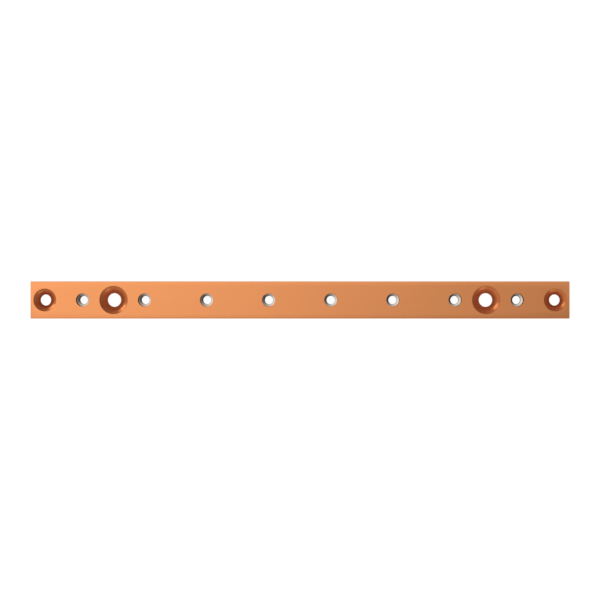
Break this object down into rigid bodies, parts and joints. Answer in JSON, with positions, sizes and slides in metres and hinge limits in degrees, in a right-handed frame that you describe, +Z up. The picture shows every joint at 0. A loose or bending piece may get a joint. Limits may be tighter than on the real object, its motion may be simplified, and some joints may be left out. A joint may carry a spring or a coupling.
{
  "type": "copper busbar",
  "caption": "Flat copper busbar with a row of press-in terminal nuts and countersunk fixing holes, for joining conductors in a switchboard.",
  "frame": {"origin": "under the middle of the bar, in the plane of the nuts' back faces, on which the part lies", "axes": "+X along the bar, +Y across it, +Z up, out of the countersunk front face"},
  "size_m": [0.434, 0.03, 0.0155],
  "materials": {
    "copper": "drawn copper, satin",
    "zinc_plated_steel": "zinc-plated, satin"
  },
  "bodies": {
    "root": {"busbar": "copper", "press_nuts": "zinc_plated_steel"}
  },
  "joints": []
}
